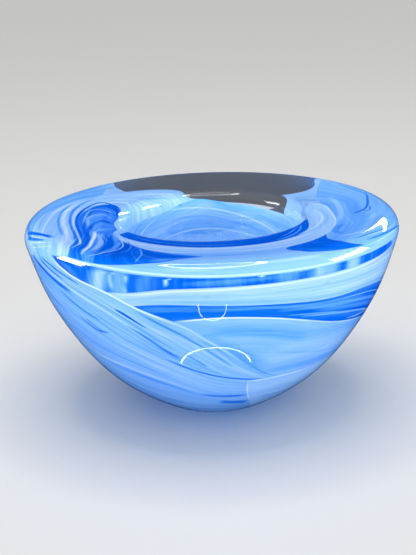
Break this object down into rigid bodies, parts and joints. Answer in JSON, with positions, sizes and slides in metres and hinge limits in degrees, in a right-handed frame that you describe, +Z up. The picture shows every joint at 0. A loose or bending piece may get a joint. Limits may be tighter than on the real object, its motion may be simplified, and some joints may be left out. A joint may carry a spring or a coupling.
{
  "type": "art glass bowl",
  "caption": "Thick-walled round art glass bowl with a wide flat rim, a small flat foot, and swirled blue and white colour wraps under clear casing.",
  "frame": {"origin": "centre of the flat foot, on the surface it stands on", "axes": "+Z up along the bowl's axis; -Y towards the front, where the cobalt band, the leaf and the base patch are; +X to the right seen from the front"},
  "size_m": [0.16, 0.16, 0.0848],
  "materials": {
    "outer_clear_casing": "polished clear",
    "inner_clear_lining": "polished clear",
    "clear_core_gather": "polished clear",
    "foot_clear_disc": "polished clear",
    "base_light_patch": "coloured glass, polished surface above it",
    "front_leaf_wrap": "coloured glass, polished surface above it",
    "front_cobalt_band": "coloured glass, polished surface above it",
    "upper_pale_band": "coloured glass, polished surface above it",
    "shoulder_clear_window": "polished clear",
    "diagonal_pale_strand": "coloured glass, polished surface above it",
    "left_body_sweep": "coloured glass, polished surface above it",
    "lower_body_sweep": "coloured glass, polished surface above it",
    "front_rim_pale_band": "coloured glass, polished surface above it",
    "left_cobalt_wedge": "coloured glass, polished surface above it",
    "right_cobalt_wedge": "coloured glass, polished surface above it",
    "lip_pale_ring": "coloured glass, polished surface above it",
    "lip_cobalt_crescent": "coloured glass, polished surface above it",
    "swirl_pale_core": "coloured glass, polished surface above it",
    "swirl_cobalt_hook": "coloured glass, polished surface above it",
    "left_rim_pale_sweep": "coloured glass, polished surface above it",
    "left_shoulder_blue_wrap": "coloured glass, polished surface above it",
    "right_rim_blue_wrap": "coloured glass, polished surface above it",
    "rear_clear_window": "polished clear",
    "inside_pale_wrap": "coloured glass, polished surface above it",
    "inside_blue_streak": "coloured glass, polished surface above it",
    "inside_lower_wrap": "coloured glass, polished surface above it"
  },
  "bodies": {
    "root": {"outer_clear_casing": "outer_clear_casing", "inner_clear_lining": "inner_clear_lining", "clear_core_gather": "clear_core_gather", "foot_clear_disc": "foot_clear_disc", "base_light_patch": "base_light_patch", "front_leaf_wrap": "front_leaf_wrap", "front_cobalt_band": "front_cobalt_band", "upper_pale_band": "upper_pale_band", "shoulder_clear_window": "shoulder_clear_window", "diagonal_pale_strand": "diagonal_pale_strand", "left_body_sweep": "left_body_sweep", "lower_body_sweep": "lower_body_sweep", "front_rim_pale_band": "front_rim_pale_band", "left_cobalt_wedge": "left_cobalt_wedge", "right_cobalt_wedge": "right_cobalt_wedge", "lip_pale_ring": "lip_pale_ring", "lip_cobalt_crescent": "lip_cobalt_crescent", "swirl_pale_core": "swirl_pale_core", "swirl_cobalt_hook": "swirl_cobalt_hook", "left_rim_pale_sweep": "left_rim_pale_sweep", "left_shoulder_blue_wrap": "left_shoulder_blue_wrap", "right_rim_blue_wrap": "right_rim_blue_wrap", "rear_clear_window": "rear_clear_window", "inside_pale_wrap": "inside_pale_wrap", "inside_blue_streak": "inside_blue_streak", "inside_lower_wrap": "inside_lower_wrap"}
  },
  "joints": []
}
